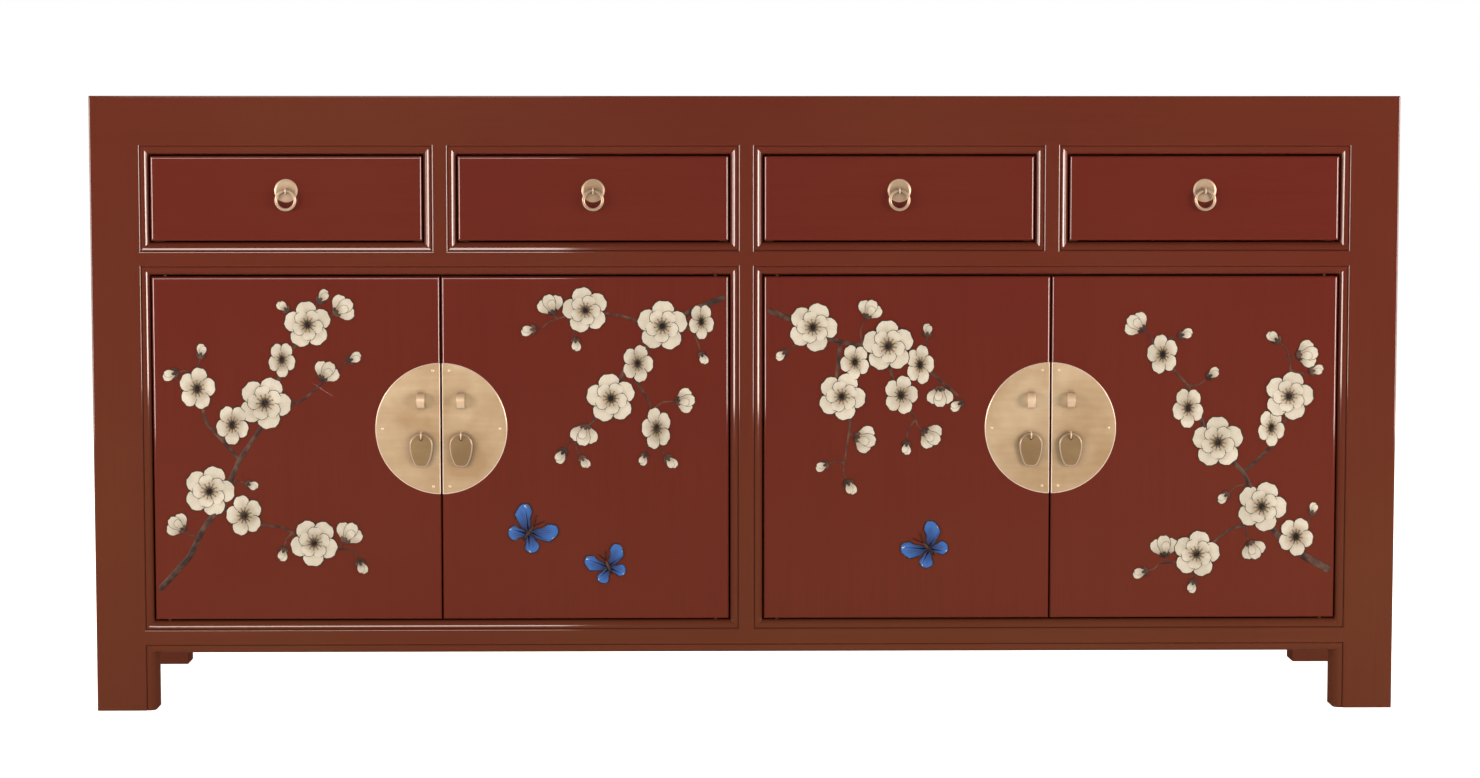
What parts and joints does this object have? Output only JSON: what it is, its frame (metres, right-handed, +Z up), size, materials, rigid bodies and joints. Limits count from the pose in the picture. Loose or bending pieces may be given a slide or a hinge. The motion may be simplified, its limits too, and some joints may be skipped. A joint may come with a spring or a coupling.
{
  "type": "sideboard",
  "caption": "Low red-lacquered sideboard: a row of ring-pull drawers over paired doors with round brass lock plates, in a beaded frame on square legs.",
  "frame": {"origin": "on the floor, at the middle of the overall width and of the overall depth over the brass fittings", "axes": "+X to the right seen from the front, -Y out of the front, +Z up"},
  "size_m": [1.8, 0.4626, 0.85],
  "materials": {
    "red_lacquer": "satin dark red lacquer over wood",
    "inner_wood": "plain oiled wood inside the cabinet",
    "brass": "brushed satin brass",
    "door_painting": "matt cream, brown and blue paint on the lacquered doors"
  },
  "bodies": {
    "cabinet": {"front_leg_left": "red_lacquer", "front_leg_right": "red_lacquer", "back_leg_left": "red_lacquer", "back_leg_right": "red_lacquer", "top_front_rail": "red_lacquer", "top_back_rail": "red_lacquer", "top_left_rail": "red_lacquer", "top_right_rail": "red_lacquer", "top_panel": "red_lacquer", "top_battens": "inner_wood", "door_pivot_pins": "brass", "middle_rail": "red_lacquer", "bottom_board": "inner_wood", "bottom_front_rail": "red_lacquer", "centre_stile": "red_lacquer", "drawer_dividers": "red_lacquer", "bottom_back_rail": "red_lacquer", "runner_back_rail": "inner_wood", "bottom_left_rail": "red_lacquer", "bottom_right_rail": "red_lacquer", "back_panel": "inner_wood", "left_shelf": "inner_wood", "right_shelf": "inner_wood", "left_side_panel": "red_lacquer", "right_side_panel": "red_lacquer", "centre_partition": "inner_wood", "drawer_runners": "inner_wood", "door_stops": "red_lacquer"},
    "drawer_1": {"drawer_1_front": "red_lacquer", "drawer_1_box": "inner_wood", "drawer_1_pull_plate": "brass"},
    "drawer_1_ring": {"drawer_1_ring": "brass"},
    "drawer_2": {"drawer_2_front": "red_lacquer", "drawer_2_box": "inner_wood", "drawer_2_pull_plate": "brass"},
    "drawer_2_ring": {"drawer_2_ring": "brass"},
    "drawer_3": {"drawer_3_front": "red_lacquer", "drawer_3_box": "inner_wood", "drawer_3_pull_plate": "brass"},
    "drawer_3_ring": {"drawer_3_ring": "brass"},
    "drawer_4": {"drawer_4_front": "red_lacquer", "drawer_4_box": "inner_wood", "drawer_4_pull_plate": "brass"},
    "drawer_4_ring": {"drawer_4_ring": "brass"},
    "door_1": {"door_1_leaf": "red_lacquer", "door_1_plate": "brass", "door_1_loops": "brass"},
    "door_1_drop": {"door_1_drop": "brass"},
    "door_2": {"door_2_leaf": "red_lacquer", "door_2_plate": "brass", "door_2_loops": "brass"},
    "door_2_drop": {"door_2_drop": "brass"},
    "door_3": {"door_3_leaf": "red_lacquer", "door_3_plate": "brass", "door_3_loops": "brass"},
    "door_3_drop": {"door_3_drop": "brass"},
    "door_4": {"door_4_leaf": "red_lacquer", "door_4_plate": "brass", "door_4_loops": "brass"},
    "door_4_drop": {"door_4_drop": "brass"}
  },
  "joints": [
    {"name": "drawer_1_slide", "type": "slide", "parent": "cabinet", "child": "drawer_1", "axis": [0, -1, 0], "range_m": [0, 0.28]},
    {"name": "drawer_1_ring_swing", "type": "hinge", "parent": "drawer_1", "child": "drawer_1_ring", "pos_m": [-0.63187, -0.2218, 0.72025], "axis": [-1, 0, 0], "range_deg": [-8, 90]},
    {"name": "drawer_2_slide", "type": "slide", "parent": "cabinet", "child": "drawer_2", "axis": [0, -1, 0], "range_m": [0, 0.28]},
    {"name": "drawer_2_ring_swing", "type": "hinge", "parent": "drawer_2", "child": "drawer_2_ring", "pos_m": [-0.21063, -0.2218, 0.72025], "axis": [-1, 0, 0], "range_deg": [-8, 90]},
    {"name": "drawer_3_slide", "type": "slide", "parent": "cabinet", "child": "drawer_3", "axis": [0, -1, 0], "range_m": [0, 0.28]},
    {"name": "drawer_3_ring_swing", "type": "hinge", "parent": "drawer_3", "child": "drawer_3_ring", "pos_m": [0.21063, -0.2218, 0.72025], "axis": [-1, 0, 0], "range_deg": [-8, 90]},
    {"name": "drawer_4_slide", "type": "slide", "parent": "cabinet", "child": "drawer_4", "axis": [0, -1, 0], "range_m": [0, 0.28]},
    {"name": "drawer_4_ring_swing", "type": "hinge", "parent": "drawer_4", "child": "drawer_4_ring", "pos_m": [0.63187, -0.2218, 0.72025], "axis": [-1, 0, 0], "range_deg": [-8, 90]},
    {"name": "door_1_hinge", "type": "hinge", "parent": "cabinet", "child": "door_1", "pos_m": [-0.8, -0.2067, 0.36475], "axis": [0, 0, -1], "range_deg": [0, 100]},
    {"name": "door_1_drop_swing", "type": "hinge", "parent": "door_1", "child": "door_1_drop", "pos_m": [-0.44875, -0.2233, 0.38325], "axis": [-1, 0, 0], "range_deg": [-6, 80]},
    {"name": "door_2_hinge", "type": "hinge", "parent": "cabinet", "child": "door_2", "pos_m": [-0.0425, -0.2067, 0.36475], "axis": [0, 0, 1], "range_deg": [0, 85]},
    {"name": "door_2_drop_swing", "type": "hinge", "parent": "door_2", "child": "door_2_drop", "pos_m": [-0.39375, -0.2233, 0.38325], "axis": [-1, 0, 0], "range_deg": [-6, 80]},
    {"name": "door_3_hinge", "type": "hinge", "parent": "cabinet", "child": "door_3", "pos_m": [0.0425, -0.2067, 0.36475], "axis": [0, 0, -1], "range_deg": [0, 85]},
    {"name": "door_3_drop_swing", "type": "hinge", "parent": "door_3", "child": "door_3_drop", "pos_m": [0.39375, -0.2233, 0.38325], "axis": [-1, 0, 0], "range_deg": [-6, 80]},
    {"name": "door_4_hinge", "type": "hinge", "parent": "cabinet", "child": "door_4", "pos_m": [0.8, -0.2067, 0.36475], "axis": [0, 0, 1], "range_deg": [0, 100]},
    {"name": "door_4_drop_swing", "type": "hinge", "parent": "door_4", "child": "door_4_drop", "pos_m": [0.44875, -0.2233, 0.38325], "axis": [-1, 0, 0], "range_deg": [-6, 80]}
  ]
}
